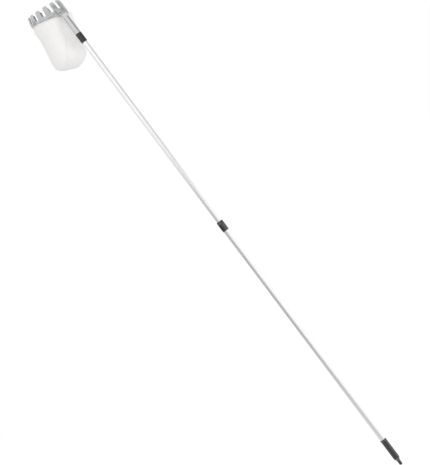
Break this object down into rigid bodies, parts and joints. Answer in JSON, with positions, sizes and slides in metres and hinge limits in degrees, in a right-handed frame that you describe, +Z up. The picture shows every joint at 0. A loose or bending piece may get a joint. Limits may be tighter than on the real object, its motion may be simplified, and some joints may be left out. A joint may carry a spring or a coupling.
{
  "type": "fruit picker pole",
  "caption": "Long two-section telescopic pole with a twist lock, carrying a crown of inward-curved metal fingers and a hanging cotton bag for picking fruit.",
  "frame": {"origin": "centre of the hang hole in the grip's tip, on the pole's axis", "axes": "+Z up the pole towards the crown, -X from the pole to the crown's centre, +Y along the hang hole"},
  "size_m": [0.2146, 0.1872, 2.3982],
  "materials": {
    "tube": "bright anodised drawn tube",
    "black_plastic": "satin moulded",
    "nylon": "moulded",
    "steel": "bright zinc plated",
    "crown_sheet": "satin stamped sheet",
    "rivet": "set rivet",
    "cotton": "plain woven cotton"
  },
  "bodies": {
    "lower_pole": {"lower_tube": "tube", "hand_grip": "black_plastic", "tube_end_plug": "nylon", "mid_collar": "black_plastic", "guide_bush": "nylon"},
    "lock_grip": {"expander_sleeve": "nylon"},
    "lock_nut": {"lock_cone": "nylon"},
    "upper_pole": {"upper_tube": "tube", "lock_plug": "nylon", "plug_pin": "steel", "lock_stud": "steel", "stop_nut": "steel", "tube_top_plug": "nylon", "head_ferrule": "black_plastic", "head_socket": "steel", "socket_screw": "steel", "picker_crown": "crown_sheet", "socket_rivets": "rivet", "hem_rivets": "rivet", "bag_hem": "cotton", "fruit_bag": "cotton"}
  },
  "joints": [
    {"name": "pole_extend", "type": "slide", "parent": "lower_pole", "child": "lock_grip", "axis": [0, 0, 1], "range_m": [-0.915, 0]},
    {"name": "twist_lock", "type": "hinge", "parent": "lock_grip", "child": "upper_pole", "pos_m": [0, 0, 1], "axis": [0, 0, 1], "range_deg": [0, 180]},
    {"name": "cone_travel", "type": "slide", "parent": "lock_grip", "child": "lock_nut", "axis": [0, 0, -1], "range_m": [0, 0.0015]}
  ],
  "couplings": [
    {"joint": "cone_travel", "follows": "twist_lock", "m_per_rad": 0.00047746}
  ]
}
